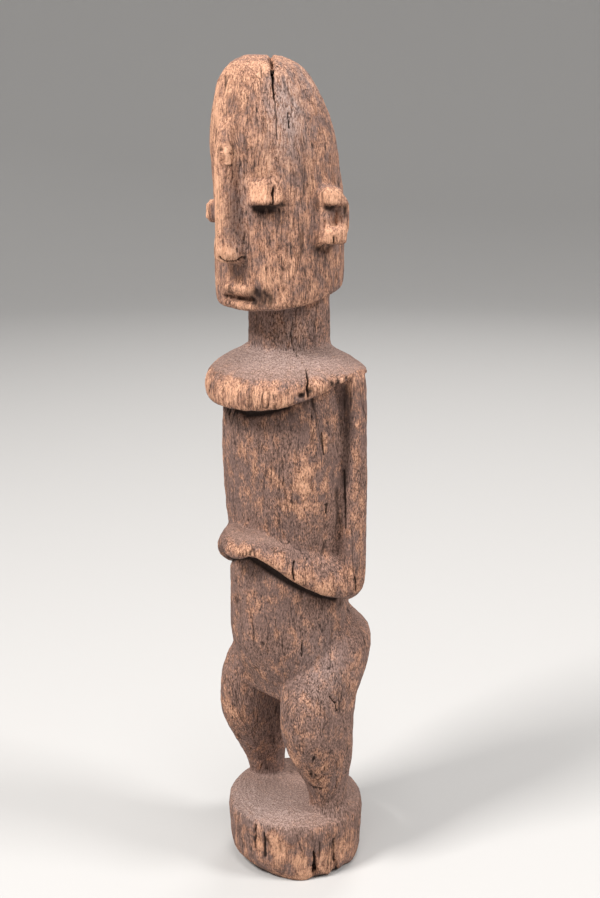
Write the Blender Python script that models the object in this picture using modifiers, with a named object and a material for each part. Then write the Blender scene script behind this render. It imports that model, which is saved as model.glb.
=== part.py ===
"""Dogon figure: a standing figure carved from one block of wood together with its round base.

Metres, +Z up. The figure faces -Y and its left side is +X. The origin is the middle of the
base's underside. The solid is lofted from sections, fused with a voxel remesh as a carver's
block would be one body, thinned, and then split by the checks that the wood shows.
"""

import math
from collections import namedtuple

import bmesh
import bpy
from mathutils import Matrix, Vector

# Driving dimensions
FIGURE_HEIGHT = 0.514
BASE_HEIGHT = 0.045
BASE_RADIUS = 0.0482
BASE_FOOT_RADIUS = 0.047
BASE_CROWN = 0.005
BASE_TOP_RISE = 0.0025
BASE_WEAR = 0.009

# One carving unit is a millimetre at the figure's real height. Every size of the figure below
# is a count of these units, and every height is counted from the top of the base.
UNIT = FIGURE_HEIGHT / 514
BELLY_RADIUS = 41.5
BELLY_FORWARD = 3.5
YOKE_HALF_WIDTH = 54
YOKE_FRONT = 60.5
YOKE_BACK = 36
YOKE_SQUARENESS = 2.25
YOKE_TOP_FRONT = 316
YOKE_TOP_SIDE = 320
YOKE_RIM_FRONT = 20
YOKE_RIM_SIDE = 3
YOKE_RIM_BACK = 12
YOKE_SWELL = 0.2

# Resolution of the solid
RING_POINTS = 48
STEPS_BETWEEN_SECTIONS = 3
VOXEL = 0.0013
SMOOTHING_ROUNDS = 2
KEPT_SHARE = 0.031

# A horizontal section: forward is towards -Y and side is towards +X. The squareness is the
# exponent of a superellipse, where 2 is an ellipse. The tilt is the ring's rise towards the back.
Section = namedtuple(
    "Section", "height forward side half_width front back squareness tilt", defaults=[0.0],
)

TRUNK = [
    Section(85, 2, 0, 29, 23, 25, 3),
    Section(87.5, 2, 0, 32, 27, 28, 2.8),
    Section(97, 1, 0, 37, 31.5, 31, 2.4),
    Section(113, BELLY_FORWARD - 1.5, 0, BELLY_RADIUS - 0.5, BELLY_RADIUS - 3, 35, 2.1),
    Section(135, BELLY_FORWARD - 0.5, 0, BELLY_RADIUS + 0.5, BELLY_RADIUS + 1, 36, 2.1),
    Section(165, BELLY_FORWARD + 0.5, 0, BELLY_RADIUS, BELLY_RADIUS + 0.3, 37, 2.1),
    Section(200, 4.5, 0, BELLY_RADIUS + 2.5, 38, 37, 2.2),
    Section(225, 5, 0, 47, 37.5, 39, 2.4),
    Section(255, 5, 0, 47.5, 38.5, 41, 2.5),
    Section(285, 5, 0, 46.5, 39.5, 40, 2.4),
    Section(YOKE_TOP_SIDE - 5, 3, 0, 43, 40, 37, 2.3),
]

NECK = [
    Section(YOKE_TOP_SIDE - 10, 5, 0, 28, 28, 28, 2),
    Section(335, 5, 0, 26.8, 27, 27, 2),
    Section(385, 6, 0, 26.8, 27, 27, 2),
]

HEAD = [
    Section(365, 15, 0, 33, 28, 31, 2.5, 0.2),
    Section(366.3, 14.5, 0, 38.8, 34.5, 35, 2.5, 0.2),
    Section(371, 14, 0, 40.8, 36.8, 37, 2.5, 0.18),
    Section(388, 13.5, 0, 41.5, 37.5, 37, 2.4, 0.05),
    Section(410, 13.5, 0, 41.5, 38, 37.5, 2.3),
    Section(431, 14.5, 0, 40.5, 39, 38, 2.3),
    Section(450, 17, 0, 39, 38.7, 38, 2.3),
    Section(466, 19.5, 0, 37, 38, 38.5, 2.3),
    Section(482, 22, 0, 33, 35.5, 36.5, 2.25),
    Section(496, 24.5, 0, 28.2, 31.5, 31.8, 2.2),
    Section(504.5, 26, 0, 24, 27, 27.5, 2.1),
    Section(510.3, 27, 0, 18.3, 20.3, 21.3, 2),
    Section(514, 27, 0, 9.5, 11, 12.5, 2),
]

# One leg; the other is its mirror image. Side is the distance from the middle plane.
LEG = [
    Section(-12, -2, 31, 15, 13, 16, 2.1),
    Section(2, -2, 31, 15, 13, 16, 2.1),
    Section(5, -2, 31.6, 12.8, 13.2, 13.5, 2.2),
    Section(11, -1.8, 31.8, 12.7, 13.7, 13, 2.2),
    Section(20, -0.8, 32, 13.5, 16.2, 14, 2.2),
    Section(30, 1, 32, 15.4, 19.8, 16.5, 2.3),
    Section(40, 2.5, 32, 17.5, 24, 18.8, 2.4),
    Section(52, 4.5, 32, 18.5, 27.5, 21.5, 2.5),
    Section(64, 6, 32, 19.6, 30, 22.8, 2.5),
    Section(77, 6, 31.5, 20.2, 31, 24.4, 2.4),
    Section(90, 4.5, 31, 20.6, 31.8, 26.4, 2.3),
    Section(104, 0, 29, 22.5, 32, 33.3, 2.2),
    Section(119, -7, 27, 24, 27, 33, 2.1),
    Section(133, -10, 25, 23, 21, 29, 2),
    Section(145, -9, 22, 18, 14, 20, 2),
    Section(156, -7, 18, 14, 11, 14, 2),
]

# The upper arm hangs flat against the side of the trunk.
UPPER_ARM = [
    Section(163, -5, 43, 7, 6, 6, 2.4),
    Section(167, -5, 44.5, 9, 7.5, 7.5, 2.6),
    Section(175, -5.3, 46.3, 10.6, 8, 8.5, 2.8),
    Section(200, -5.5, 46.6, 10.8, 8, 8.5, 3),
    Section(250, -5.5, 46.8, 10.8, 7.5, 8.5, 3),
    Section(300, -5.5, 46, 10.3, 8, 9, 2.8),
    Section(YOKE_TOP_SIDE - 6, -5, 45, 10, 9, 10, 2.6),
    Section(YOKE_TOP_SIDE + 1, -5, 43, 8.5, 9, 10, 2.4),
]


def smooth_between(rows, steps):
    """Rows of numbers with a smooth curve through them, steps rows to each gap."""
    made = []
    for i in range(len(rows) - 1):
        before, start = rows[max(i - 1, 0)], rows[i]
        end, after = rows[i + 1], rows[min(i + 2, len(rows) - 1)]
        for step in range(steps):
            t = step / steps
            made.append([
                0.5 * (2 * b + (c - a) * t + (2 * a - 5 * b + 4 * c - d) * t**2
                       + (3 * b - a - 3 * c + d) * t**3)
                for a, b, c, d in zip(before, start, end, after)
            ])
    made.append(list(rows[-1]))
    return made


def power(value, exponent):
    """The value raised to an exponent, with its sign kept."""
    return math.copysign(abs(value) ** exponent, value)


def place(forward, side, height):
    """A point of the figure in metres, from carving units above the base."""
    return Vector((side * UNIT, -forward * UNIT, BASE_HEIGHT + height * UNIT))


def section_ring(section):
    """The points round one section, anticlockwise from above."""
    ring = []
    for i in range(RING_POINTS):
        turn = 2 * math.pi * i / RING_POINTS
        across = power(math.cos(turn), 2 / section.squareness)
        along = power(math.sin(turn), 2 / section.squareness)
        backwards = along * (section.back if along > 0 else section.front)
        ring.append(place(
            section.forward - backwards,
            section.side + section.half_width * across,
            section.height + section.tilt * backwards,
        ))
    return ring


def skin(mesh, rings):
    """Adds a closed shell through rings that have the same number of points each."""
    rows = [[mesh.verts.new(point) for point in ring] for ring in rings]
    for lower, upper in zip(rows, rows[1:]):
        for i in range(len(lower)):
            j = (i + 1) % len(lower)
            mesh.faces.new((lower[i], lower[j], upper[j], upper[i]))
    mesh.faces.new(rows[0][::-1])
    mesh.faces.new(rows[-1])


def loft(mesh, sections, mirrored=False):
    """Adds a shell through horizontal sections, and its mirror image where asked."""
    rings = [section_ring(Section(*row)) for row in smooth_between(sections, STEPS_BETWEEN_SECTIONS)]
    skin(mesh, rings)
    if mirrored:
        flip = Matrix.Scale(-1, 3, Vector((1, 0, 0)))
        skin(mesh, [[flip @ point for point in reversed(ring)] for ring in rings])


# The base's outline from its foot up: share of the way from the foot's radius to the full one,
# share of the base's height, and how much of the wear at the foot is felt there.
BASE_OUTLINE = [
    (-1.6, -0.12, 1.0), (-1.6, 0.0, 1.0), (-0.5, 0.06, 0.6), (0.1, 0.16, 0.2), (0.3, 0.3, 0.0),
    (0.6, 0.6, 0.0), (1.0, 0.84, 0.0),
]
# Its top from the edge inwards: share of the radius and share of the crown's height.
BASE_TOP = [(0.985, -0.4), (0.955, 0.0), (0.88, 0.3), (0.76, 0.65), (0.6, 0.9), (0.4, 1.0)]
# The top is higher on the right, and the foot's edge is worn away in front. Both directions
# are turns from +X.
RISE_DIRECTION = math.radians(165)
WEAR_DIRECTION = math.radians(-102)
WEAR_SPREAD = math.radians(62)


def wear(turn):
    """How deep the foot's edge is worn away in one direction."""
    away = abs((turn - WEAR_DIRECTION + math.pi) % (2 * math.pi) - math.pi) / WEAR_SPREAD
    return BASE_WEAR * math.cos(min(1.0, away) * math.pi / 2) ** 1.2


def base_ring(radius, height, felt=0.0):
    """One round of the base, drawn in where it is worn."""
    ring = []
    for i in range(2 * RING_POINTS):
        turn = math.pi * i / RING_POINTS
        reach = radius - felt * wear(turn)
        share = max(0.0, height / BASE_HEIGHT) * radius / BASE_RADIUS
        rise = share * BASE_TOP_RISE * math.cos(turn - RISE_DIRECTION)
        ring.append(Vector((reach * math.cos(turn), reach * math.sin(turn), height + rise)))
    return ring


def add_base(mesh):
    """The round base: its foot a little narrower, its top crowned and its edges worn."""
    rings = []
    for share, up, felt in BASE_OUTLINE:
        radius = BASE_FOOT_RADIUS + share * (BASE_RADIUS - BASE_FOOT_RADIUS)
        rings.append(base_ring(radius, up * BASE_HEIGHT, felt))
    for share, up in BASE_TOP:
        rings.append(base_ring(share * BASE_RADIUS, BASE_HEIGHT + up * BASE_CROWN))
    skin(mesh, rings)


# The yoke of shoulders and chest: a slab with a rounded rim that overhangs the trunk. The rim is
# deep in front and thin at the shoulders, so its lower edge climbs towards them.
YOKE_EDGE_FRONT = YOKE_TOP_FRONT - YOKE_RIM_FRONT
YOKE_EDGE_SIDE = YOKE_TOP_SIDE - YOKE_RIM_SIDE
YOKE_EDGE_BACK = YOKE_TOP_SIDE - YOKE_RIM_BACK
# The profile: share of the outline, share of the way from the lower edge to the top, and the
# height above that.
YOKE_PROFILE = [
    (0.62, 0.0, 7), (0.86, 0.0, 3), (0.965, 0.0, 0), (0.99, 0.12, 0), (1.0, 0.34, 0), (0.995, 0.6, 0),
    (0.97, 0.84, 0), (0.92, 1.0, 1), (0.8, 1.0, 5.4), (0.64, 1.0, 9.3), (0.5, 1.0, 14), (0.42, 1.0, 20),
]


def add_yoke(mesh):
    """The yoke, with its neck side raised in a low cone."""
    rings = []
    for share, level, rise in YOKE_PROFILE:
        outline = section_ring(Section(
            0, 0, 0, YOKE_HALF_WIDTH * share, YOKE_FRONT * share, YOKE_BACK * share, YOKE_SQUARENESS,
        ))
        for point in outline:
            ahead = max(0.0, -point.y / (YOKE_FRONT * share * UNIT))
            behind = max(0.0, point.y / (YOKE_BACK * share * UNIT))
            edge = YOKE_EDGE_SIDE + (YOKE_EDGE_FRONT - YOKE_EDGE_SIDE) * ahead ** 0.9
            edge += (YOKE_EDGE_BACK - YOKE_EDGE_SIDE) * behind ** 2
            top = YOKE_TOP_SIDE + (YOKE_TOP_FRONT - YOKE_TOP_SIDE) * ahead
            swell = rise * (1 + YOKE_SWELL * (ahead - behind))
            point.z = BASE_HEIGHT + (edge + (top - edge) * level + swell) * UNIT
        rings.append(outline)
    skin(mesh, rings)


# The forearms ride round the belly as one chevron ledge. Each row gives the angle from the
# front, the height of the sharp lower edge, the ledge's height, and how far it stands proud.
ForearmRow = namedtuple("ForearmRow", "angle lower_edge rise proud")
FOREARM = [
    ForearmRow(0, 194, 17.5, 14.7),
    ForearmRow(7, 195, 17, 14.3),
    ForearmRow(14, 197.6, 14.9, 12.3),
    ForearmRow(26, 194.5, 16, 10.3),
    ForearmRow(45, 183.5, 22.5, 9.5),
    ForearmRow(62, 175, 27, 9.5),
    ForearmRow(78, 169, 29, 11.5),
    ForearmRow(92, 166, 31, 12.5),
    ForearmRow(104, 166, 31, 11.5),
]
LEDGE_ROOT = 16
# The ledge's profile: share of how far it stands proud, and share of its rise.
LEDGE_PROFILE = [
    (0.55, -0.02), (0.88, 0.03), (1.0, 0.16), (0.97, 0.34), (0.82, 0.56), (0.58, 0.78), (0.25, 0.96),
]


def forearm_ring(row):
    """The ledge's section at one angle, as points from its root round its outer face."""
    turn = math.radians(row.angle)
    profile = [(-LEDGE_ROOT, 0.05)]
    profile += [(out * row.proud, up) for out, up in LEDGE_PROFILE]
    profile += [(-LEDGE_ROOT, 1.0)]
    ring = []
    for out, up in profile:
        radius = BELLY_RADIUS + out
        ring.append(place(
            BELLY_FORWARD + radius * math.cos(turn),
            radius * math.sin(turn),
            row.lower_edge + up * row.rise,
        ))
    return ring


def add_forearms(mesh):
    """Both forearms, from the right elbow round the front to the left."""
    left = smooth_between(FOREARM, STEPS_BETWEEN_SECTIONS)
    right = [[-angle, *rest] for angle, *rest in reversed(left[1:])]
    skin(mesh, [forearm_ring(ForearmRow(*row)) for row in right + left])


def add_block(mesh, centre, size, turn=0.0, rounding=0.25, top_depth=1.0):
    """A worn block of carving units, bevelled, turned about the vertical.

    The top's front edge is drawn back where top_depth is below one.
    """
    made = bmesh.ops.create_cube(mesh, size=1)
    for v in made["verts"]:
        along = v.co.y * (top_depth if v.co.y < 0 < v.co.z else 1)
        v.co = Vector((v.co.x * size[0], along * size[1], v.co.z * size[2])) * UNIT
    edges = {e for v in made["verts"] for e in v.link_edges}
    offset = rounding * min(size) * UNIT
    bevelled = bmesh.ops.bevel(mesh, geom=list(edges), offset=offset, segments=2, affect="EDGES")
    verts = {v for f in bevelled["faces"] for v in f.verts}
    matrix = Matrix.Translation(centre) @ Matrix.Rotation(turn, 4, "Z")
    bmesh.ops.transform(mesh, matrix=matrix, verts=list(verts))


# The face: a ridge of a nose with an arrow foot, block eyes and a slot of a mouth.
NOSE = [
    Section(389, 53, 0, 6, 6.5, 10, 2.4),
    Section(391, 54, 0, 8.5, 10.5, 12, 2.5),
    Section(397, 54, 0, 9, 12, 12, 2.6),
    Section(406, 54, 0, 7.3, 11.5, 12, 2.8),
    Section(420, 54, 0, 7, 11.5, 12, 2.8),
    Section(445, 54, 0, 7, 10.8, 12, 2.8),
    Section(465, 54, 0, 7, 9.2, 12, 2.6),
    Section(482, 52, 0, 7, 4, 12, 2.4),
]
# Each block of an eye: its side, how far out and how far forward its middle is, and its width.
# The left eye has a second, lower block at its outer end. The right eye is worn nearly flush.
EYES = [(1, 20.5, 49.2, 16), (1, 28.7, 41.4, 9), (-1, 15.2, 45.1, 15.5)]
EYE_HEIGHT = 433
EYE_THICK = 14
EYE_TALL = 17
EYE_TURN = math.radians(28)
EYE_TOP_DEPTH = 0.35
LIP_CENTRE = (46, 0, 373)
LIP_SIZE = (27, 13, 9)
BLOCK_ROUNDING = 0.12

# The left ear is a C that opens forwards: an upper bar, a lower bar, the rim behind them and the
# shallow hollow between them. The right ear is a plain block.
EAR_SIDE = 45
LEFT_EAR_THICK = 14.8
RIGHT_EAR_THICK = 17
EAR_UPPER = (12, 430.2, 15, 12.8)
EAR_LOWER = (11.5, 406, 16, 11.5)
RIGHT_EAR = (22.8, 417, 19.5, 15)
EAR_TOP_DEPTH = 0.5
EAR_ROUNDING = 0.17
EAR_RIM = [
    Section(402, 4.5, 38, 6.5, 3.5, 3, 2.4),
    Section(407, 4.5, 39, 11, 4.5, 3.5, 2.6),
    Section(412, 4.5, 40, 12.4, 4.5, 3.8, 2.6),
    Section(423, 4.5, 40, 12.4, 4.5, 3.8, 2.6),
    Section(428, 4.5, 39, 11.6, 4.5, 3.5, 2.6),
    Section(434, 4.5, 38, 6.5, 3.5, 3, 2.4),
]
EAR_HOLLOW = (11.5, 41.2, 418.5, 15, 7, 18)
EAR_HOLLOW_TURN = math.radians(24)


def add_ears(mesh):
    """The two ears; each bar is its forward place, its height, its length and how tall it is."""
    loft(mesh, EAR_RIM)
    forward, side, height, length, thick, tall = EAR_HOLLOW
    turn = math.pi / 2 + EAR_HOLLOW_TURN
    add_block(mesh, place(forward, side, height), (length, thick, tall), turn, EAR_ROUNDING)
    bars = [
        (EAR_UPPER, LEFT_EAR_THICK, 1, EAR_TOP_DEPTH),
        (EAR_LOWER, LEFT_EAR_THICK, 1, 1),
        (RIGHT_EAR, RIGHT_EAR_THICK, -1, 1),
    ]
    for (forward, height, length, tall), thick, side, top_depth in bars:
        centre = place(forward, side * EAR_SIDE, height)
        size = (length, thick, tall)
        add_block(mesh, centre, size, side * math.pi / 2, EAR_ROUNDING, top_depth)


def add_face(mesh):
    """Nose, eyes and the bulge of the upper lip."""
    loft(mesh, NOSE)
    for side, out, forward, width in EYES:
        centre = place(forward, side * out, EYE_HEIGHT)
        size = (width, EYE_THICK, EYE_TALL)
        add_block(mesh, centre, size, side * EYE_TURN, BLOCK_ROUNDING, EYE_TOP_DEPTH)
    add_block(mesh, place(*LIP_CENTRE), LIP_SIZE, rounding=0.35)


def carved_block():
    """Every form of the figure and its base, as overlapping shells in one mesh."""
    mesh = bmesh.new()
    add_base(mesh)
    loft(mesh, TRUNK)
    loft(mesh, NECK)
    loft(mesh, HEAD)
    loft(mesh, LEG, mirrored=True)
    loft(mesh, UPPER_ARM, mirrored=True)
    add_yoke(mesh)
    add_forearms(mesh)
    add_ears(mesh)
    add_face(mesh)
    data = bpy.data.meshes.new("figure")
    mesh.to_mesh(data)
    mesh.free()
    return data


def weathered_wood():
    """Grey-brown weathered wood."""
    material = bpy.data.materials.new("weathered_wood")
    material.use_nodes = True
    shader = material.node_tree.nodes["Principled BSDF"]
    shader.inputs["Base Color"].default_value = (0.235, 0.135, 0.085, 1)
    shader.inputs["Roughness"].default_value = 0.85
    shader.inputs["Metallic"].default_value = 0.0
    return material


def fuse(figure):
    """Fuses the shells into one body, softens the joins and thins the mesh."""
    remesh = figure.modifiers.new("fuse", "REMESH")
    remesh.mode = "VOXEL"
    remesh.voxel_size = VOXEL
    remesh.use_smooth_shade = True
    smooth = figure.modifiers.new("soften", "SMOOTH")
    smooth.factor = 0.5
    smooth.iterations = SMOOTHING_ROUNDS
    thin = figure.modifiers.new("thin", "DECIMATE")
    thin.ratio = KEPT_SHARE


# The wood's deep checks. Each opens square to the direction of the eye in front of the left
# shoulder, where the checks lie open. A station is a height, how far out along that direction
# the cut reaches, how deep it runs, how far it is shifted across, and how wide it is.
CHECK_TURN = math.radians(46)
Station = namedtuple("Station", "height out depth across width")
CROWN_CHECK = [
    Station(480, 62, 18, -12.0, 0.4),
    Station(490, 60, 22, -12.2, 1.2),
    Station(502, 58, 34, -12.8, 1.8),
    Station(509, 58, 56, -14.0, 3.0),
    Station(520, 58, 60, -16.0, 7.0),
]
YOKE_CHECK = [
    Station(294, 72, 22, 9.2, 3.6),
    Station(303, 72, 22, 8.2, 2.8),
    Station(311, 72, 22, 6.8, 1.6),
    Station(322, 72, 22, 5.8, 0.5),
]
FOREARM_CHECK = [
    Station(184, 64, 14, -2.2, 1.5),
    Station(193, 64, 15, -1.4, 1.7),
    Station(203, 64, 16, -0.4, 0.4),
]
ARM_CHECK = [
    Station(206, 62, 32, 32.6, 0.4),
    Station(216, 62, 33, 32.4, 1.5),
    Station(232, 62, 34, 31.8, 1.5),
    Station(250, 62, 34, 32.0, 0.4),
]
BASE_SPLIT = [
    Station(-60, 60, 22, 13.6, 3.4),
    Station(-38, 60, 20, 13.6, 2.4),
    Station(-28, 60, 17, 13.2, 0.4),
]
BASE_NOTCH = [
    Station(-60, 60, 34, 28.8, 4.6),
    Station(-42, 60, 33, 28.8, 3.6),
    Station(-37, 60, 30, 28.8, 0.8),
]
CHECKS = {
    "crown_check": CROWN_CHECK,
    "yoke_check": YOKE_CHECK,
    "forearm_check": FOREARM_CHECK,
    "arm_check": ARM_CHECK,
    "base_split": BASE_SPLIT,
    "base_notch": BASE_NOTCH,
}
# How wide a check is at its inner end, as a share of its width at the surface.
CHECK_TAPER = 0.3
MOUTH_CENTRE = (52.5, 0, 366.4)
MOUTH_SIZE = (30, 10, 4.4)


def check_cutter(stations):
    """A wedge through the stations of one check."""
    towards = Vector((math.sin(CHECK_TURN), -math.cos(CHECK_TURN), 0))
    across = Vector((math.cos(CHECK_TURN), math.sin(CHECK_TURN), 0))
    mesh = bmesh.new()
    rings = []
    for values in smooth_between(stations, STEPS_BETWEEN_SECTIONS):
        at = Station(*values)
        middle = across * (at.across * UNIT) + Vector((0, 0, BASE_HEIGHT + at.height * UNIT))
        outer = middle + towards * (at.out * UNIT)
        inner = middle + towards * ((at.out - at.depth) * UNIT)
        half = across * (at.width * UNIT / 2)
        rings.append([
            outer + half, inner + half * CHECK_TAPER, inner - half * CHECK_TAPER, outer - half,
        ])
    skin(mesh, rings)
    bmesh.ops.recalc_face_normals(mesh, faces=mesh.faces)
    return mesh


def mouth_cutter():
    """The slot of the mouth."""
    mesh = bmesh.new()
    add_block(mesh, place(*MOUTH_CENTRE), MOUTH_SIZE, rounding=0.3)
    return mesh


def ground_cutter():
    """All that lies under the base, so that the underside is flat."""
    mesh = bmesh.new()
    size = 3 * BASE_RADIUS
    bmesh.ops.create_cube(mesh, size=size, matrix=Matrix.Translation((0, 0, -size / 2)))
    return mesh


def cut(figure, name, mesh, collection):
    """Takes a cutter's shape out of the figure and keeps the cutter in its own collection."""
    data = bpy.data.meshes.new(name)
    mesh.to_mesh(data)
    mesh.free()
    cutter = bpy.data.objects.new(name, data)
    cutter.hide_render = True
    cutter.display_type = "WIRE"
    collection.objects.link(cutter)
    boolean = figure.modifiers.new(name, "BOOLEAN")
    boolean.operation = "DIFFERENCE"
    boolean.solver = "EXACT"
    boolean.object = cutter


def main():
    for obj in list(bpy.data.objects):
        bpy.data.objects.remove(obj)
    collection = bpy.data.collections.new("dogon_figure")
    cutters = bpy.data.collections.new("cutters")
    bpy.context.scene.collection.children.link(collection)
    bpy.context.scene.collection.children.link(cutters)
    cutters.hide_render = True
    figure = bpy.data.objects.new("figure", carved_block())
    figure.data.materials.append(weathered_wood())
    collection.objects.link(figure)
    fuse(figure)
    cut(figure, "ground", ground_cutter(), cutters)
    cut(figure, "mouth", mouth_cutter(), cutters)
    for name, stations in CHECKS.items():
        cut(figure, name, check_cutter(stations), cutters)


main()
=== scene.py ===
import itertools
import math

import bmesh
import bpy
import numpy as np
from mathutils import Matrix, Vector


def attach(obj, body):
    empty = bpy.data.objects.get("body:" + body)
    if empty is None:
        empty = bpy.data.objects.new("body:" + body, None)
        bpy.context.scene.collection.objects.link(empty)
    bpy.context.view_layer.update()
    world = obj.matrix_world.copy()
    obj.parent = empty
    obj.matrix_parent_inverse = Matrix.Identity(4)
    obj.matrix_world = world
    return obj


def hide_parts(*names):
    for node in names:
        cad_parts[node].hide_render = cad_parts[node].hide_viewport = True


# The dogon figure's looks: the carved surface in fine detail, with its eroded fibres, checks,
# worn edges and patina. Places and lengths are in millimetres in the part's frame unless a name
# says otherwise. The figure faces -Y and its left side is +X.

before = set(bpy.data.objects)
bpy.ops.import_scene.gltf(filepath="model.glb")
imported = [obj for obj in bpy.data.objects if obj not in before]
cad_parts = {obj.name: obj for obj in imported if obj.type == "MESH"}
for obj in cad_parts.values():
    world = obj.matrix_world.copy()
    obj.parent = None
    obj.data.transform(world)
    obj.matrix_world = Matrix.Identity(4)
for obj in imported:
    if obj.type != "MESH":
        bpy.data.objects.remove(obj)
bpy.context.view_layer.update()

MM = 0.001
FINE_GRID = 0.0007
TRIANGLES_KEPT = 196000
# The photograph's view: the eye's place in metres, its turn from the figure's front towards its
# left, its tilt from straight down and its lens.
EYE_PLACE = (0.6137, -0.5881, 0.533)
EYE_TURN = math.radians(46)
EYE_TILT = math.radians(74.9)
LENS = 52.0

# Heights between which one part of the carving passes into the next, from the base up.
BASE_EDGE = (43, 50)
ANKLES = (46, 54)
HIPS = (130, 165)
RIM_LOWER_EDGE = (334, 342)
RIM_UPPER_EDGE = (364, 372)
JAW = (404, 412)
# How far from the figure's middle line the yoke's rim begins.
RIM_REACH = (44, 52)
# The height above the floor over which the relief grows to its full depth.
FLOOR_BAND = 2.5

# Rounds of smoothing of the fine copy, and of the wider surroundings that it is held against.
SMOOTHING_ROUNDS = 2
SURROUNDING_ROUNDS = 12
# How far from its line a check or crease is looked for, and through how much wood.
SEARCH_MARGIN = 9
THROUGH = 7

# Lights: turn from the figure's front, rise, distance, size, power and tint.
LIGHTS = [
    ("key", -10, 50, 2.4, 0.6, 74, (1.0, 0.97, 0.94)),
    ("fill", 118, 40, 2.4, 0.65, 43, (1.0, 0.98, 0.96)),
    ("top", 50, 76, 2.5, 0.75, 27, (1.0, 0.98, 0.96)),
    ("back", -150, 40, 2.5, 1.0, 23, (1.0, 0.98, 0.96)),
]
SURROUND = 0.26


def smoothstep(low, high, value):
    """A soft step from 0 at low to 1 at high."""
    share = np.clip((value - low) / (high - low), 0.0, 1.0)
    return share * share * (3 - 2 * share)


def swell(points, seed):
    """Gradient noise from about -1 to 1, with one swell to a unit."""
    random = np.random.default_rng(seed)
    slopes = random.normal(size=(256, 3))
    slopes /= np.linalg.norm(slopes, axis=1)[:, None]
    order = random.permutation(256)
    cell = np.floor(points).astype(np.int64)
    offset = points - cell
    fade = offset**3 * (offset * (offset * 6 - 15) + 10)
    total = np.zeros(len(points))
    for corner in itertools.product((0, 1), repeat=3):
        at = cell + corner
        pick = order[(order[(order[at[:, 0] & 255] + at[:, 1]) & 255] + at[:, 2]) & 255]
        weight = np.prod(np.where(corner, fade, 1 - fade), axis=1)
        total += weight * np.sum(slopes[pick] * (offset - corner), axis=1)
    return total * 1.5


def grain(points, width, length, seed):
    """Noise drawn out along the wood's fibres, which run up the block."""
    return swell(points / np.array([width, width, length]), seed)


def ridged(noise):
    """Sharp crests at 1 where the noise crosses nothing, with rounded hollows between."""
    return 1 - 2 * np.abs(noise)


def hairline(noise, width):
    """Thin lines at 1 where the noise crosses nothing."""
    return 1 - smoothstep(0, width, np.abs(noise))


class Surface:
    """The carved surface as arrays: points, normals and neighbours."""

    def __init__(self, mesh):
        self.mesh = mesh
        count = len(mesh.vertices)
        flat = np.empty(count * 3, np.float32)
        mesh.vertices.foreach_get("co", flat)
        self.points = flat.reshape(-1, 3).astype(float) / MM
        edges = np.empty(len(mesh.edges) * 2, np.int32)
        mesh.edges.foreach_get("vertices", edges)
        self.edges = edges.reshape(-1, 2)
        self.degree = np.bincount(edges, minlength=count).astype(float)

    def mean(self, values):
        """Each vertex's mean of its neighbours' values."""
        values = values.reshape(len(self.points), -1)
        a, b = self.edges[:, 0], self.edges[:, 1]
        ends = np.concatenate([a, b])
        columns = []
        for column in values.T:
            weights = np.concatenate([column[b], column[a]])
            columns.append(np.bincount(ends, weights, len(self.points)) / self.degree)
        return np.stack(columns, axis=1)

    def soften(self, rounds):
        """Smooths the surface without shrinking it."""
        for _ in range(rounds):
            for step in (0.5, -0.52):
                self.points += step * (self.mean(self.points) - self.points)

    def update(self):
        """Writes the points back and reads the normals."""
        self.mesh.vertices.foreach_set("co", (self.points * MM).astype(np.float32).ravel())
        self.mesh.update()
        flat = np.empty(len(self.points) * 3, np.float32)
        self.mesh.vertex_normals.foreach_get("vector", flat)
        self.normals = flat.reshape(-1, 3).astype(float)

    def convexity(self, rounds):
        """How far the surface stands out from its surroundings, in millimetres."""
        smooth = self.points
        for _ in range(rounds):
            smooth = 0.5 * smooth + 0.5 * self.mean(smooth)
        return np.sum((self.points - smooth) * self.normals, axis=1)

    def keep(self, name, values):
        """Keeps a number or a place for each vertex under a name that the material reads."""
        if values.ndim == 1:
            made = self.mesh.attributes.new(name, "FLOAT", "POINT")
            made.data.foreach_set("value", values.astype(np.float32))
        else:
            made = self.mesh.attributes.new(name, "FLOAT_VECTOR", "POINT")
            made.data.foreach_set("vector", values.astype(np.float32).ravel())


def fine_copy(node):
    """The node's solid as an even fine mesh in an object of its own."""
    welded = bmesh.new()
    welded.from_mesh(node.data)
    bmesh.ops.remove_doubles(welded, verts=welded.verts, dist=1e-6)
    start = bpy.data.meshes.new("start")
    welded.to_mesh(start)
    welded.free()
    rough = bpy.data.objects.new("rough", start)
    bpy.context.scene.collection.objects.link(rough)
    remesh = rough.modifiers.new("grid", "REMESH")
    remesh.mode = "VOXEL"
    remesh.voxel_size = FINE_GRID
    depsgraph = bpy.context.evaluated_depsgraph_get()
    fine = bpy.data.meshes.new_from_object(rough.evaluated_get(depsgraph))
    bpy.data.objects.remove(rough)
    piece = bpy.data.objects.new("carved_figure", fine)
    bpy.context.scene.collection.objects.link(piece)
    return piece


def thin(piece):
    """Brings the mesh down to its budget, most of it kept where the surface is roughest."""
    triangles = sum(len(face.vertices) - 2 for face in piece.data.polygons)
    if triangles > TRIANGLES_KEPT:
        decimate = piece.modifiers.new("thin", "DECIMATE")
        decimate.ratio = TRIANGLES_KEPT / triangles
        depsgraph = bpy.context.evaluated_depsgraph_get()
        old = piece.data
        piece.data = bpy.data.meshes.new_from_object(piece.evaluated_get(depsgraph))
        piece.modifiers.clear()
        bpy.data.meshes.remove(old)
    piece.data.shade_smooth()


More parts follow.
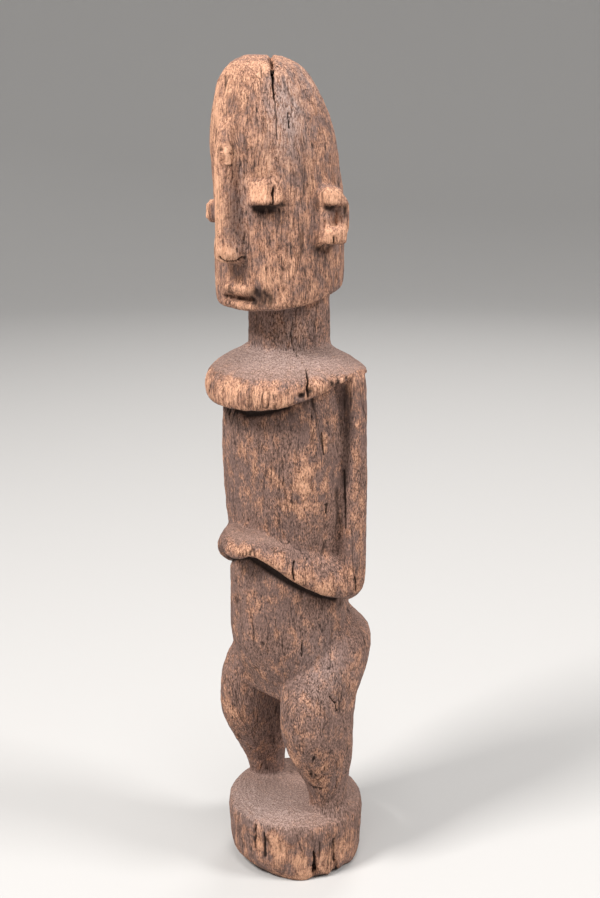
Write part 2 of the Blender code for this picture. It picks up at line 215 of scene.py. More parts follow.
# Where the wood is worn down to its orange core, and on the neck painted light: place, reach to
# each side and how strongly.
WORN_AND_LIT = [
    ("nose ridge", (-3, -65, 462), (6, 8, 40), 1.05),
    ("nose's foot", (4, -63, 441), (8, 8, 6), 1.0),
    ("brow knot", (5, -61, 500), (7, 8, 8), 0.6),
    ("forehead, front", (-10, -56, 518), (15, 14, 38), 0.55),
    ("crown, front", (6, -50, 547), (22, 18, 15), 0.36),
    ("crown", (8, -22, 559), (26, 26, 8), 0.16),
    ("crown, back", (10, 10, 545), (26, 20, 20), 0.25),
    ("forehead, left", (22, -49, 505), (16, 16, 26), 0.22),
    ("temple", (38, -22, 500), (8, 18, 22), 0.12),
    ("left eye", (24, -52, 478), (8, 7, 7), 0.85),
    ("left eye, outer end", (34, -45, 476), (5, 6, 6), 0.45),
    ("right eye", (-20, -54, 477), (8, 8, 8), 0.6),
    ("left ear, upper bar", (49, -17, 476), (8, 9, 6), 0.75),
    ("left ear, lower bar", (51, -17, 450), (8, 8, 6), 0.75),
    ("left ear, rim", (57, -1, 460), (5, 8, 20), 0.75),
    ("left ear, hollow", (47, -13, 458), (7, 9, 5), 0.5),
    ("right ear", (-53, -22, 463), (8, 14, 14), 0.7),
    ("cheek, low", (30, -42, 428), (20, 18, 12), 0.32),
    ("cheek, high", (30, -42, 452), (12, 14, 12), 0.15),
    ("jaw's edge", (35, -32, 411), (26, 24, 5), 0.4),
    ("lips", (0, -53, 417), (14, 8, 7), 0.45),
    ("chin", (0, -50, 406), (18, 10, 5), 0.5),
    ("right cheek", (-30, -42, 440), (16, 16, 26), 0.2),
    # Painted light: the neck is lightened where the jaw shades it.
    ("neck, left", (20, -22, 388), (14, 12, 16), 0.22),
    ("yoke rim, left", (30, -50, 351), (18, 16, 11), 0.55),
    ("yoke rim, right", (-30, -50, 351), (18, 16, 11), 0.55),
    ("yoke rim, front", (0, -62, 351), (22, 14, 11), 0.55),
    ("yoke rim, far left", (48, -30, 358), (10, 13, 8), 0.5),
    ("yoke rim, left end", (53, -14, 363), (6, 10, 5), 0.5),
    ("yoke rim, far right", (-48, -30, 358), (10, 13, 8), 0.6),
    ("left shoulder", (54, -8, 362), (8, 24, 9), 0.3),
    ("right shoulder", (-54, -8, 362), (8, 24, 9), 0.3),
    ("back of the shoulders", (0, 36, 352), (40, 12, 10), 0.3),
    ("chest patch", (39, -30, 294), (7, 8, 13), 0.8),
    ("chest patch, low", (38, -31, 280), (10, 10, 8), 0.55),
    ("chest spot, high", (43, -24, 321), (3, 4, 4), 0.5),
    ("chest streak", (45.5, -18, 322), (1.6, 2.4, 9), 0.7),
    ("chest spot, left", (45.5, -19, 291), (3, 4, 5), 0.5),
    ("chest spot, middle", (20, -42, 297), (5, 5, 6), 0.55),
    ("chest spot, right of it", (6, -44, 299), (7, 6, 6), 0.35),
    ("chest spot, middle high", (-3, -44, 313), (6, 6, 6), 0.35),
    ("chest, speckled", (8, -44, 285), (16, 8, 14), 0.22),
    ("chest, right spot", (-36, -33, 300), (7, 8, 12), 0.5),
    ("left upper arm", (56.5, 0, 300), (3, 3, 34), 0.5),
    ("left upper arm, outer edge", (57.5, 5, 262), (4, 5, 22), 0.4),
    ("left elbow", (56, 1, 224), (5, 8, 12), 0.45),
    ("left forearm's edge", (50, -19, 220), (10, 15, 6), 0.95),
    ("forearm's edge, middle", (37, -38, 229.5), (12, 12, 5.4), 0.95),
    ("forearm's edge, front", (23, -49, 239.5), (12, 10, 5), 0.95),
    ("hand's edge", (9, -57, 246), (9, 8, 4.5), 0.85),
    ("right forearm's edge", (-38, -37, 229), (22, 20, 4.5), 0.6),
    ("belly, right spot", (6, -44, 205), (6, 6, 14), 0.4),
    ("belly, low spots", (10, -45, 150), (14, 8, 9), 0.4),
    ("left hip", (52, 2, 150), (8, 16, 22), 0.22),
    ("left knee", (44, -30, 134), (7, 9, 8), 0.25),
    ("left leg's front edge", (33, -32, 92), (5, 7, 20), 0.4),
    ("left shin", (46, -22, 84), (12, 14, 16), 0.4),
    ("right knee", (-29, -35, 110), (11, 9, 10), 0.5),
    ("right shin", (-34, -24, 84), (10, 10, 10), 0.15),
    ("base, left foot edge", (40, -24, 5), (14, 20, 7), 0.8),
    ("base, left", (50, -4, 17), (8, 15, 11), 0.75),
    ("base, smooth patch", (26, -41, 24), (7, 7, 10), 1.0),
    ("base, small patch", (36.4, -31.5, 17), (4.5, 5.5, 6), 1.0),
    ("base, front", (11, -47, 28), (3, 5, 12), 0.8),
    ("base, front edge", (-14, -46, 10), (24, 12, 8), 0.2),
    ("base, back edge", (-10, 48, 8), (30, 12, 8), 0.4),
]

# Where weather has eaten deeper: fibres stand out and pits open.
ROUGH = [
    ("beside the mouth", (19, -48, 414), (9, 7, 7), 1.0),
    ("cheek's scallops", (28, -44, 431), (15, 12, 6), 0.8),
    ("brow", (18, -54, 497), (14, 12, 10), 0.5),
    ("crown's front", (22, -44, 530), (12, 12, 18), 0.4),
    ("left shin", (46, -22, 76), (14, 16, 26), 1.0),
    ("left knee", (46, -22, 128), (14, 16, 18), 0.8),
    ("left thigh", (44, -20, 164), (16, 18, 18), 0.6),
    ("right knee", (-34, -30, 118), (16, 14, 20), 0.8),
    ("right shin", (-40, -20, 72), (14, 16, 20), 0.8),
    ("left foot", (44, -14, 56), (14, 16, 12), 1.0),
    ("belly", (24, -38, 175), (26, 16, 34), 0.5),
    ("nose's foot", (6, -60, 438), (6, 6, 5), 0.8),
    ("yoke's lower edge", (40, -42, 348), (18, 18, 6), 0.7),
    ("hip", (50, 10, 150), (12, 16, 22), 0.5),
    ("base, left", (48, -8, 20), (12, 26, 16), 0.9),
    ("base, front", (0, -50, 26), (22, 8, 14), 0.6),
    ("back", (0, 38, 240), (30, 12, 70), 0.5),
]

# Where the wood is still sound: no furrow or fissure runs there.
SOUND = [
    ("below the left ear", (43, -16, 433), (7, 7, 14), 1.0),
    ("left eye", (24, -52, 478), (8, 7, 7), 1.0),
    ("beside the nose", (9, -56, 468), (7, 7, 26), 1.0),
    ("nose ridge", (-2, -65, 462), (5, 6, 30), 0.7),
]

# Where a pale dust lies on the patina. On the yoke's and base's tops the same pale tone is also
# painted light falling from above, and on the left of the neck it is painted light lifting the
# jaw's shade.
DUSTED_AND_LIT_PLACES = [
    ("temple", (30, -36, 524), (10, 12, 26), 0.9),
    ("left of the crown", (30, -14, 545), (12, 14, 12), 0.4),
    ("beside the nose", (9, -56, 466), (6, 6, 24), 0.65),
    # The tops' pale tone is partly painted light from above.
    ("yoke's top", (10, -26, 372), (48, 38, 8), 0.8),
    ("base's top", (0, -30, 47), (46, 34, 6), 0.85),
    ("left thigh", (46, -18, 160), (14, 18, 28), 0.35),
    # Painted light, lifting the shade under the jaw.
    ("neck, left", (20, -22, 388), (14, 12, 16), 0.45),
    ("ear's hollow", (48, -10, 464), (6, 8, 6), 0.4),
]

# Hollows below the carving's blocks, small holes and low swells: place, reach to each side and
# depth, where a depth below zero is a swell. Each hollow is also painted dark: below the eyes, ear
# bars, nose, mouth and yoke as painted shade under the block, and in the small holes and spots as
# their own dark colour with painted shade.
HOLLOWS = [
    ("under the left eye", (24, -50.5, 468), (8.5, 6, 2.6), 2.4),
    ("under the left eye's outer end", (34, -43, 471), (5, 5, 2), 1.4),
    ("left eye's outer end", (33, -46, 479), (3, 4, 5), 0.5),
    ("under the right eye", (-20, -52, 468), (7, 5, 2.4), 1.0),
    ("under the ear's upper bar", (47, -15, 468.5), (8, 8, 2.2), 1.3),
    ("under the ear's lower bar", (48, -15, 443.5), (8, 8, 2.6), 2.2),
    ("under the nose", (4, -57, 434), (7, 6, 1.8), 0.6),
    ("nose's notch", (6.5, -61, 444), (1.2, 2.2, 2.2), 0.9),
    ("above the nose's foot", (9, -57, 451), (4, 4, 4), 0.3),
    ("mouth", (-3, -50, 411.3), (13, 6, 2.2), 0.9),
    ("mouth's left end", (9, -48, 411), (6, 5, 2.0), 0.5),
    ("dark spot above the mouth", (15.6, -49.4, 417), (1.8, 2, 1.8), 1.4),
    ("pitted spot beside the mouth", (20, -48, 413.5), (10, 7, 6.5), 1.4),
    ("under the yoke, right", (-22, -41, 335), (12, 6, 3), 1.5),
    ("hole in the yoke's rim", (44.6, -37.6, 353.7), (1.5, 1.8, 1.6), 2.0),
    ("yoke's cavity", (47.5, -32.5, 357.5), (1.8, 2.2, 3.2), 2.0),
    ("mark in the yoke's rim", (24, -52, 354), (2.6, 2.6, 2.6), 0.8),
    ("upper lip's swell", (2, -51.5, 416.5), (11, 5, 3.4), -0.9),
    ("lower lip's swell", (0, -51, 407), (12, 5, 2.4), -0.7),
    ("brow knot", (3, -62, 501), (3.2, 3.5, 3.4), -0.7),
    ("brow knot's eye", (2.6, -64, 503.4), (1.2, 2, 1.2), 1.5),
    ("ring on the chest", (43, -25, 321.5), (1.8, 2.4, 2.6), 0.6),
]

# Checks in the wood: places along each, its width at both ends and its depth. Each is cut in and
# painted dark along its line as the shade in the crack; the one under the nose's foot darkens the
# shade beneath the nose.
CHECKS = [
    ("crown", [(15.6, -35, 555.7), (22, -39.5, 547), (25, -41, 539.4), (26.6, -42, 533)], 2.4, 1.1, 2.6),
    ("crown, faint", [(26.6, -42, 533), (28.5, -43, 521), (30, -44, 509)], 1.0, 0.8, 0.7),
    ("crown, front", [(16, -43.3, 552), (19.4, -46.4, 545)], 1.0, 0.8, 0.6),
    ("under the nose's foot",
     [(0.6, -65.5, 438.5), (4.3, -63, 436), (8, -58, 435.6), (9.5, -53, 438.5)], 2.6, 1.8, 1.8),
    ("temple", [(31.8, -36, 525), (32.7, -37, 516)], 1.3, 1.0, 0.9),
    ("left eye", [(29.4, -46.8, 481), (30, -48, 475), (30.6, -48, 469)], 1.0, 1.4, 1.6),
    ("ear's lower bar", [(52.2, -16.8, 451.5), (52.1, -16.7, 446.5)], 1.2, 1.4, 1.6),
    ("neck", [(20.9, -22.4, 396), (19.8, -22.8, 388), (20.6, -22.8, 381), (26, -23.3, 374)], 0.9, 1.0, 0.7),
    ("yoke", [(39, -27.5, 368.6), (46, -33, 362), (47, -33.7, 352)], 1.2, 2.4, 2.4),
    ("yoke, lower", [(30, -46, 361), (31, -47, 348)], 1.1, 1.1, 1.0),
    ("yoke, right", [(-20, -54, 362), (-21, -55, 346)], 1.2, 1.6, 1.3),
    ("chest", [(44.8, -19.4, 327), (45.4, -18.6, 319), (45.9, -18.3, 312)], 1.0, 1.1, 0.9),
    ("chest, low", [(46, -16.6, 278.5), (46.2, -16.2, 272.5)], 1.4, 1.4, 1.6),
    ("forearm", [(36, -35.6, 242), (36.8, -37, 236), (37.4, -38, 227)], 1.1, 1.9, 1.8),
    ("elbow", [(56.8, 1.6, 226), (56.2, 2.4, 215)], 1.2, 1.2, 1.1),
    ("belly", [(23, -40, 198), (23.6, -41, 187)], 0.8, 0.9, 0.6),
    ("belly, left", [(36, -30, 193), (38, -29, 182), (37, -29, 170)], 0.8, 1.2, 0.9),
    ("belly, low", [(8, -45, 168), (9, -45, 157)], 0.8, 0.9, 0.6),
    ("left knee", [(48, -16, 143), (50.5, -12, 137), (51, -10, 131)], 1.0, 1.5, 1.3),
    ("left shin", [(48, -18, 91), (49, -18, 80), (47, -20, 62)], 0.9, 1.4, 1.1),
    ("left shin, front", [(40, -32, 113), (41, -32, 103)], 0.9, 1.1, 0.8),
    ("left shin, outer", [(50, -8, 88), (50.5, -6, 76), (49, -5, 67)], 0.8, 1.3, 1.0),
    ("right leg", [(-36, -30, 120), (-37, -30, 106)], 1.0, 1.2, 0.9),
    ("base, front", [(8.1, -47.6, 40), (7.8, -47.4, 32), (7.6, -47.2, 22)], 1.8, 2.0, 2.6),
    ("base, beside it", [(15, -45.6, 37), (16.4, -45.2, 28), (15.4, -45, 18)], 1.2, 2.6, 1.2),
    ("base, middle", [(36, -33, 38), (37, -31, 30), (37.6, -30, 25)], 0.9, 1.1, 0.6),
    ("base, left split", [(42, -22.5, 24), (42.2, -21.5, 12), (42.4, -21, 0)], 1.2, 4.2, 4.5),
    ("base, left", [(48.5, -8, 30), (48, -7, 14), (46.5, -5, 0)], 1.0, 2.6, 2.4),
    ("back, long", [(-6, 40, 320), (-5, 41, 290), (-7, 40, 262), (-6, 40, 236)], 1.0, 1.4, 1.3),
    ("back of the head", [(6, 20, 520), (4, 22, 496), (5, 22, 470)], 1.4, 1.0, 1.2),
    ("base, back", [(-14, 50, 44), (-15, 50, 24), (-14, 49, 4)], 1.2, 2.0, 1.8),
]

# Creases under the carving's ledges and beside the arms, on the figure's left and again on its
# right: places along each, its width and its depth. Each is cut in by its depth and painted
# dark as the shade that falls into it; under the jaw the cut is slight and the mark is mostly
# painted shade.
CREASES = [
    ("under the yoke", [(0, -44, 336), (8.4, -44, 337.5), (20, -41.5, 341), (30, -37, 345)], 7.5, 1.9),
    ("under the yoke's side", [(30, -37, 345), (38, -31, 350), (44, -23, 354), (50, -12, 358.5)], 4.6, 1.6),
    ("under the hand", [(-8, -44, 238), (1, -43.2, 237.5), (12, -42.3, 234.5)], 8.0, 1.2),
    ("under the forearm",
     [(12, -42.3, 234.5), (21.7, -39.3, 230), (30, -34, 225), (34.5, -28.7, 221.5)], 8.0, 1.5),
    ("under the elbow", [(34.5, -28.7, 221.5), (39.3, -19, 215), (41.5, -2, 208)], 6.5, 1.5),
    ("beside the upper arm",
     [(49.2, -2.9, 354), (50.4, -2, 340), (50.6, -2, 313), (49.8, -2.2, 290)], 7.5, 0.5),
    ("slit beside the arm", [(48.9, -2.6, 299), (49.4, -2.2, 279), (49.9, -2.2, 259)], 1.6, 1.8),
    ("under the jaw", [(0, -30, 403), (14, -28, 403), (24, -18, 405)], 6.0, 0.25),
]

# Chips out of the base's lower edge: place, reach to each side and height.
CHIPS = [
    ("left split", (42.5, -21.5, 0), (3.0, 4.0, 10), 7.0),
    ("left of it", (45, -14, 0), (5, 3.6, 7), 2.4),
    ("left notch", (47, -5, 0), (4, 3.2, 10), 6.0),
    ("far left", (46, 5, 0), (5, 5, 8), 3.0),
    ("back", (-14, 47, 0), (2.2, 4, 7), 3.0),
    ("front", (14, -44, 0), (5, 3, 6), 0.8),
]

# Knots that the fibres run round: place, reach to each side and pull.
KNOTS = [
    ("brow", (3, -62, 501), (7, 10, 10), 0.8),
    ("forehead", (16, -54, 512), (8, 10, 10), 0.5),
    ("back", (10, 40, 280), (10, 12, 14), 0.6),
    ("left hip", (54, 6, 168), (10, 12, 14), 0.5),
]


def near(points, centre, reach):
    """1 at a place, falling off to nothing over its reach to each side."""
    return np.exp(-0.9 * np.sum(((points - centre) / reach) ** 2, axis=1))


def strongest(points, places):
    """The strongest of the listed places at each point."""
    total = np.zeros(len(points))
    for _, centre, reach, amount in places:
        total = np.maximum(total, amount * near(points, centre, reach))
    return total


def wood_place(points):
    """Each point's place in the straight block, from which the fibres' bends come."""
    stretch = np.array([30, 30, 75])
    warped = points.copy()
    warped[:, 0] += 2.4 * swell(points / stretch, 31) + 0.5 * swell(points / (stretch / 4), 33)
    warped[:, 1] += 2.4 * swell(points / stretch, 32) + 0.5 * swell(points / (stretch / 4), 34)
    for _, centre, reach, pull in KNOTS:
        away = points[:, :2] - centre[:2]
        warped[:, :2] -= pull * away * near(points, centre, reach)[:, None]
    return warped


def along_check(points, normals, places):
    """Each point's distance from a check, measured along the surface, and its share of the way."""
    places = np.array(places, float)
    nearest = np.full(len(points), np.inf)
    share = np.zeros(len(points))
    for index, (start, end) in enumerate(zip(places[:-1], places[1:])):
        run = end - start
        part = np.clip((points - start) @ run / (run @ run), 0, 1)
        away = points - start - part[:, None] * run
        depth = np.sum(away * normals, axis=1)
        across = np.linalg.norm(away - depth[:, None] * normals, axis=1)
        across[np.abs(depth) > THROUGH] = np.inf
        closer = across < nearest
        nearest[closer] = across[closer]
        share[closer] = (index + part[closer]) / (len(places) - 1)
    return nearest, share


def around(points, places):
    """The points in the box round a line of places."""
    low = np.min(places, axis=0) - SEARCH_MARGIN
    high = np.max(places, axis=0) + SEARCH_MARGIN
    return np.nonzero(np.all((points > low) & (points < high), axis=1))[0]


def checks(points, normals):
    """How deep the listed checks go at each point, and how dark they are."""
    deep = np.zeros(len(points))
    dark = np.zeros(len(points))
    ragged = swell(points / 2.6, 41)
    sway = swell(points / 7.0, 42)
    for _, places, wide_start, wide_end, depth in CHECKS:
        close = around(points, places)
        spots = points[close].copy()
        spots[:, :2] += 0.8 * sway[close][:, None]
        across, share = along_check(spots, normals[close], places)
        half = 0.5 * (wide_start + (wide_end - wide_start) * share) * (1 + 0.4 * ragged[close])
        into = 1 - smoothstep(0.35, 1.25, across / half)
        deep[close] = np.maximum(deep[close], depth * into)
        dark[close] = np.maximum(dark[close], into * min(1.0, depth))
    return deep, dark


def creases(points, normals):
    """How far into a crease each point is, from 0 to 1, and how deep the crease is there."""
    inside = np.zeros(len(points))
    deep = np.zeros(len(points))
    for _, places, width, depth in CREASES:
        for side in (1, -1):
            line = np.array(places, float) * (side, 1, 1)
            close = around(points, line)
            across, _ = along_check(points[close], normals[close], line)
            into = 1 - smoothstep(0.2, 1.3, across / (width / 2))
            inside[close] = np.maximum(inside[close], into * min(1.0, depth))
            deep[close] = np.maximum(deep[close], depth * into)
    return inside, deep


class Zones:
    """How much each point belongs to each part of the carving, from 0 to 1."""

    def __init__(self, points, normals):
        x, y, z = points.T
        upright = 1 - np.abs(normals[:, 2])
        self.side_grain = smoothstep(0.1, 0.6, upright)
        self.head = smoothstep(*JAW, z)
        self.base = 1 - smoothstep(*BASE_EDGE, z)
        self.legs = smoothstep(*ANKLES, z) * (1 - smoothstep(*HIPS, z))
        self.rim = smoothstep(*RIM_LOWER_EDGE, z) * (1 - smoothstep(*RIM_UPPER_EDGE, z))
        self.rim *= smoothstep(*RIM_REACH, np.hypot(x, y)) * smoothstep(0.1, 0.4, upright)
        self.rough = strongest(points, ROUGH)
        self.floor = smoothstep(0.0, FLOOR_BAND, z)


class Weather:
    """The marks of weather at each point."""

    def __init__(self, points, normals, wood, zones):
        rough = zones.rough
        sound = 1 - strongest(points, SOUND)
        erosion = 0.45 + 0.3 * zones.head + 1.1 * zones.rim + 0.35 * zones.base + 0.3 * zones.legs
        self.erosion = (erosion + 0.5 * rough) * (0.3 + 0.7 * zones.side_grain)
        broad = ridged(grain(wood, 3.6, 34, 21))
        narrow = ridged(grain(wood, 2.1, 18, 22))
        self.fibres = 0.6 * broad + 0.4 * narrow
        furrows = smoothstep(0.25, 0.75, grain(wood, 4.6, 50, 23))
        self.furrows = furrows * smoothstep(-0.1, 0.5, swell(points / 24, 24)) * sound
        fissures = hairline(grain(wood, 9, 80, 28), 0.085)
        self.fissures = fissures * smoothstep(-0.05, 0.3, grain(points, 12, 22, 29)) * sound
        pitted = smoothstep(0.1, 0.5, swell(points / 15, 26) + 0.5 * rough)
        self.pits = smoothstep(0.4, 0.75, grain(points, 2.8, 5, 25)) * pitted
        self.nibbled = smoothstep(-0.1, 0.7, swell(points / np.array([4.2, 4.2, 5.0]), 27))
        self.lumps = swell(points / np.array([3.4, 3.4, 4.6]), 30)
        self.check_depth, self.check_dark = checks(points, normals)
        self.creased, self.crease_depth = creases(points, normals)


def relief(points, zones, weather, edge):
    """How far each point stands out from the carving's smooth form, in millimetres."""
    rough = zones.rough
    height = 0.5 * swell(points / 26, 11) + 0.28 * swell(points / 11, 12)
    height += 0.42 * weather.erosion * (weather.fibres - 0.35)
    height += 0.2 * (1 + rough) * weather.lumps
    height -= 0.75 * weather.erosion * weather.furrows
    height -= (0.5 + 0.4 * rough) * zones.side_grain * weather.fissures
    height -= (0.5 + 0.5 * rough) * weather.pits
    height -= 1.2 * edge * weather.nibbled
    for _, centre, reach, depth in HOLLOWS:
        height -= depth * near(points, centre, reach)
    height *= 0.25 + 0.75 * zones.floor
    return height - np.maximum(weather.check_depth, weather.crease_depth)


def worn_bare_and_lit(points, zones, weather, edge, hollow):
    """How far the patina is worn off, from 0 where it is whole; on the neck it is painted light."""
    bare_and_lit = 0.14 + strongest(points, WORN_AND_LIT) + 0.3 * edge + 0.12 * (weather.fibres - 0.3)
    bare_and_lit -= 0.35 * hollow + 0.3 * weather.furrows + 0.3 * weather.pits + 0.5 * weather.creased
    bare_and_lit += 0.22 * zones.head + 0.12 * zones.rim + 0.05 * zones.base
    bare_and_lit -= 0.15 * (1 - zones.side_grain) * (1 - zones.head)
    return np.clip(bare_and_lit, 0, 1.4)


def sooted_and_shaded(points, zones, weather, hollow):
    """Darkness from 0 to 1: dirt in grooves and pits, painted shade in hollows, checks and creases."""
    grooves = smoothstep(0.25, -0.35, weather.fibres) * zones.side_grain
    # Painted shade in the carving's wider hollows, like the dimness of ambient occlusion, less on the head.
    soot_and_shade = (0.3 - 0.15 * zones.head) * hollow + 0.55 * weather.furrows * weather.erosion
    soot_and_shade += 0.7 * weather.pits + 0.6 * weather.fissures * zones.side_grain
    soot_and_shade += grooves * (0.15 + 0.5 * zones.rim + 0.2 * zones.legs + 0.25 * zones.base)
    soot_and_shade += 0.45 * zones.rough * smoothstep(0.1, 0.5, -weather.lumps)
    mottled = 0.55 + 0.9 * smoothstep(-0.4, 0.4, weather.lumps)
    # Painted shade under the listed blocks and in the small holes, dappled by the lumps.
    for _, centre, reach, depth in HOLLOWS:
        soot_and_shade += 0.5 * max(depth, 0) * near(points, centre, reach) * mottled
    # Checks and creases are painted dark as the shade in them.
    soot_and_shade = np.maximum(np.maximum(soot_and_shade, weather.check_dark), 0.95 * weather.creased)
    return np.clip(soot_and_shade, 0, 1)


def carve(piece):
    """Gives the fine surface its relief and keeps what the material needs to know."""
    surface = Surface(piece.data)
    surface.soften(SMOOTHING_ROUNDS)
    surface.update()
    points = surface.points.copy()
    normals = surface.normals
    wood = wood_place(points)
    stands_out = surface.convexity(SURROUNDING_ROUNDS)
    edge = smoothstep(0.15, 0.9, stands_out)
    hollow = smoothstep(0.1, 1.0, -stands_out)
    zones = Zones(points, normals)
    weather = Weather(points, normals, wood, zones)

    surface.points += normals * relief(points, zones, weather, edge)[:, None]
    for _, centre, reach, height in CHIPS:
        surface.points[:, 2] += height * near(points, centre, reach)
    surface.points[:, 2] = np.maximum(surface.points[:, 2], 0.0)
    surface.update()

    streaky = np.clip(0.3 + 0.5 * zones.head + 0.7 * zones.rim + 0.5 * zones.base, 0, 1)
    surface.keep("bare_and_lit", worn_bare_and_lit(points, zones, weather, edge, hollow))
    surface.keep("soot_and_shade", sooted_and_shaded(points, zones, weather, hollow))
    surface.keep("dust_and_light", strongest(points, DUSTED_AND_LIT_PLACES))
    surface.keep("streaky", streaky * zones.side_grain)
    surface.keep("end_grain", 1 - zones.side_grain)
    surface.keep("wood_place", wood * MM)
    surface.mesh.update()


def node(tree, kind, inputs=None, **settings):
    """A shader node with its settings and its inputs, linked or set."""
    made = tree.nodes.new(kind)
    for name, value in settings.items():
        setattr(made, name, value)
    for key, value in (inputs or {}).items():
        if isinstance(value, bpy.types.NodeSocket):
            tree.links.new(value, made.inputs[key])
        else:
            made.inputs[key].default_value = value
    return made


class Nodes:
    """Short names for the shader nodes that a material is made of."""

    def __init__(self, tree):
        self.tree = tree

    def math(self, operation, a, b=0.0):
        return node(self.tree, "ShaderNodeMath", {0: a, 1: b}, operation=operation).outputs[0]

    def add(self, first, *others):
        for other in others:
            first = self.math("ADD", first, other)
        return first

    def times(self, a, b):
        return self.math("MULTIPLY", a, b)

    def span(self, value, low, high, to_low=0.0, to_high=1.0, kind="SMOOTHSTEP"):
        """A value mapped from one range to another."""
        inputs = {0: value, 1: low, 2: high, 3: to_low, 4: to_high}
        return node(self.tree, "ShaderNodeMapRange", inputs, interpolation_type=kind).outputs[0]

    def swing(self, value, amount):
        """A noise made to swing by an amount each way."""
        return self.span(value, 0.3, 0.7, -amount, amount, "LINEAR")

    def blend(self, share, a, b):
        """One colour turned into another by a share."""
        return node(self.tree, "ShaderNodeMix", {0: share, 6: a, 7: b}, data_type="RGBA").outputs[2]

    def mix(self, share, a, b):
        """One number turned into another by a share."""
        return node(self.tree, "ShaderNodeMix", {0: share, 2: a, 3: b}, data_type="FLOAT").outputs[0]

    def attribute(self, name, output="Fac"):
        return node(self.tree, "ShaderNodeAttribute", attribute_name=name).outputs[output]

    def stretched(self, place, up):
        return node(self.tree, "ShaderNodeMapping", {"Vector": place, "Scale": (1, 1, up)}).outputs[0]

    def noise(self, place, per_metre, detail=3.0, roughness=0.55):
        inputs = {"Vector": place, "Scale": per_metre, "Detail": detail, "Roughness": roughness}
        return node(self.tree, "ShaderNodeTexNoise", inputs).outputs[0]


def colour(red, green, blue):
    """A colour as the screen shows it, from 0 to 255, in linear light."""
    def linear(value):
        value /= 255
        return value / 12.92 if value <= 0.04045 else ((value + 0.055) / 1.055) ** 2.4
    return (linear(red), linear(green), linear(blue), 1.0)


# The wood's colours, dark and light where there are two.
PATINA = (colour(86, 65, 57), colour(166, 132, 119))
CLOUDED_PATINA = colour(122, 100, 95)
BROWN = (colour(122, 84, 66), colour(200, 152, 127))
CORE = (colour(192, 140, 110), colour(236, 184, 152))
# Grey tan on flat faces across the grain, which on the tops is painted light from above.
FLAT_FACE_AND_TOP_LIGHT = colour(164, 134, 121)
# Pale dust, also painted light on the yoke's and base's tops and on the neck.
PALE_DUST_AND_LIGHT = colour(184, 164, 158)
RING = colour(84, 64, 56)
# The darkest tone: dirt in grooves and pits, and painted shade in creases, hollows and under blocks.
SHADE_AND_SOOT = colour(36, 24, 20)


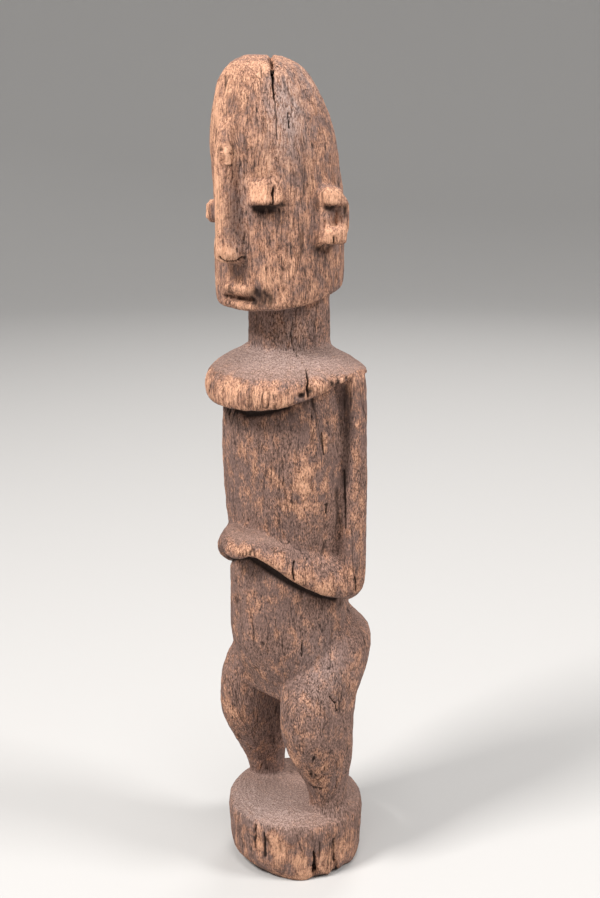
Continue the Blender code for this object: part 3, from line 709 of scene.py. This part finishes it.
def weathered_wood():
    """Old wood: grey-brown patina over orange fibres, dark in its grooves, with painted shade in its
    checks, creases and hollows and painted light on its tops.
    """
    material = bpy.data.materials.new("weathered_wood")
    material.use_nodes = True
    tree = material.node_tree
    shader = tree.nodes["Principled BSDF"]
    make = Nodes(tree)
    place = make.attribute("wood_place", "Vector")
    bare_and_lit = make.attribute("bare_and_lit")
    soot_and_shade = make.attribute("soot_and_shade")
    dust_and_light = make.attribute("dust_and_light")
    streaky = make.attribute("streaky")
    end_grain = make.attribute("end_grain")

    along = make.stretched(place, 0.08)
    drawn = make.stretched(place, 0.4)
    fibre = make.noise(along, 1050, 3, 0.6)
    fine = make.noise(drawn, 1250, 3, 0.6)
    grit = make.noise(place, 1500, 2, 0.6)
    blotch = make.noise(make.stretched(place, 0.65), 150, 5, 0.62)
    cloud = make.noise(place, 34, 3, 0.5)
    texture = make.mix(make.times(streaky, 0.65), fine, fibre)
    calm = make.span(end_grain, 0.3, 0.9, 1.0, 0.95)

    line = make.math("ABSOLUTE", make.math("SUBTRACT", make.noise(along, 260, 2, 0.5), 0.5))
    line = make.times(make.span(line, 0.016, 0.0), make.span(make.noise(drawn, 95, 2), 0.45, 0.58))
    line = make.times(line, make.span(end_grain, 0.7, 0.2))
    rings = node(
        tree, "ShaderNodeTexWave",
        {"Vector": place, "Scale": 110.0, "Distortion": 9.0, "Detail": 4.0, "Detail Scale": 2.0},
        wave_type="RINGS", rings_direction="Z",
    ).outputs[1]
    rings = make.times(rings, end_grain)

    loose = make.times(make.add(make.swing(texture, 0.26), make.swing(grit, 0.16)), calm)
    shown = make.add(bare_and_lit, make.swing(blotch, 0.5), loose)
    rubbed = make.span(shown, 0.15, 0.62)
    laid_bare = make.span(shown, 0.5, 1.1)
    light = make.span(texture, 0.34, 0.66)
    patina = make.blend(light, *PATINA)
    patina = make.blend(make.span(cloud, 0.42, 0.62, 0.0, 0.45), patina, CLOUDED_PATINA)
    brown = make.blend(light, *BROWN)
    core = make.blend(light, *CORE)
    wood = make.blend(laid_bare, make.blend(rubbed, patina, brown), core)
    # Flat faces across the grain turn grey tan: on the tops this is painted light from above.
    flat_face_and_top_light = make.times(make.span(end_grain, 0.3, 0.9, 0.0, 0.4), make.span(bare_and_lit, 0.6, 0.2))
    wood = make.blend(flat_face_and_top_light, wood, FLAT_FACE_AND_TOP_LIGHT)
    # Pale dust, and painted light on the yoke's and base's tops and on the neck.
    dusted_and_lit = make.times(dust_and_light, make.span(texture, 0.38, 0.62))
    wood = make.blend(dusted_and_lit, wood, PALE_DUST_AND_LIGHT)
    wood = make.blend(make.times(rings, 0.3), wood, RING)
    specks = make.times(make.span(make.mix(0.5, fine, grit), 0.45, 0.34), make.times(calm, 0.7))
    # Dirt and painted shade from the surface, with dark fibre lines and specks.
    dark = make.math("MAXIMUM", make.span(soot_and_shade, 0.08, 0.8), make.times(line, 0.8))
    dark = make.math("MAXIMUM", dark, specks)
    wood = make.blend(make.times(dark, 0.94), wood, SHADE_AND_SOOT)
    tree.links.new(wood, shader.inputs["Base Color"])
    tree.links.new(make.span(laid_bare, 0, 1, 0.85, 0.72), shader.inputs["Roughness"])
    shader.inputs["Specular IOR Level"].default_value = 0.25

    height = make.add(make.times(texture, 1.0), make.times(grit, 0.7), make.times(fibre, 0.4))
    height = make.add(height, make.times(line, -0.5), make.times(rings, 0.12))
    inputs = {"Strength": make.times(calm, 0.95), "Distance": 0.001, "Height": height}
    bump = node(tree, "ShaderNodeBump", inputs)
    tree.links.new(bump.outputs[0], shader.inputs["Normal"])
    return material


def stage():
    """A plain pale floor that rises all round in one curve, so no horizon shows."""
    flat, bend, top = 2.6, 1.6, 1.2
    outline = [(0.0, 0.0), (flat, 0.0)]
    steps = 14
    for step in range(1, steps + 1):
        turn = math.radians(90 * step / steps)
        outline.append((flat + bend * math.sin(turn), bend * (1 - math.cos(turn))))
    outline.append((flat + bend, bend + top))
    bowl = bmesh.new()
    spun = [bowl.verts.new((away, 0, high)) for away, high in outline]
    edges = [bowl.edges.new(pair) for pair in zip(spun[:-1], spun[1:])]
    bmesh.ops.spin(
        bowl, geom=spun + edges, cent=(0, 0, 0), axis=(0, 0, 1),
        angle=math.tau, steps=96, use_merge=True,
    )
    bmesh.ops.remove_doubles(bowl, verts=bowl.verts, dist=1e-5)
    bmesh.ops.recalc_face_normals(bowl, faces=bowl.faces)
    mesh = bpy.data.meshes.new("floor")
    bowl.to_mesh(mesh)
    bowl.free()
    mesh.shade_smooth()
    floor = bpy.data.objects.new("floor", mesh)
    bpy.context.scene.collection.objects.link(floor)
    material = bpy.data.materials.new("floor")
    material.use_nodes = True
    shader = material.node_tree.nodes["Principled BSDF"]
    shader.inputs["Base Color"].default_value = (0.46, 0.455, 0.45, 1)
    shader.inputs["Roughness"].default_value = 0.9
    floor.data.materials.append(material)


def camera():
    """The photograph's view: in front of the figure's left shoulder and a little above."""
    data = bpy.data.cameras.new("camera")
    data.sensor_fit = "AUTO"
    data.sensor_width = 36
    data.lens = LENS
    made = bpy.data.objects.new("camera", data)
    made.location = EYE_PLACE
    made.rotation_euler = (EYE_TILT, 0, EYE_TURN)
    bpy.context.scene.collection.objects.link(made)
    bpy.context.scene.camera = made


def area_light(name, turn, rise, away, size, power, tint):
    """A soft light at a turn from the figure's front and a rise, aimed at the figure's chest."""
    data = bpy.data.lights.new(name, "AREA")
    data.size = size
    data.energy = power
    data.color = tint
    made = bpy.data.objects.new(name, data)
    a, e = math.radians(turn), math.radians(rise)
    middle = Vector((0, 0, 0.3))
    direction = Vector((math.sin(a) * math.cos(e), -math.cos(a) * math.cos(e), math.sin(e)))
    made.location = middle + direction * away
    made.rotation_euler = (-direction).to_track_quat("-Z", "Y").to_euler()
    bpy.context.scene.collection.objects.link(made)


def lights():
    """Soft studio light from both sides of the eye and from above."""
    for light in LIGHTS:
        area_light(*light)
    world = bpy.data.worlds.new("surround")
    world.use_nodes = True
    world.node_tree.nodes["Background"].inputs[0].default_value = (0.9, 0.9, 0.9, 1)
    world.node_tree.nodes["Background"].inputs[1].default_value = SURROUND
    bpy.context.scene.world = world


def main():
    camera()
    lights()
    stage()
    bpy.context.scene.view_settings.view_transform = "Standard"
    piece = fine_copy(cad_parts["figure"])
    carve(piece)
    thin(piece)
    piece.data.materials.clear()
    piece.data.materials.append(weathered_wood())
    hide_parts("figure")
    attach(piece, "root")


main()
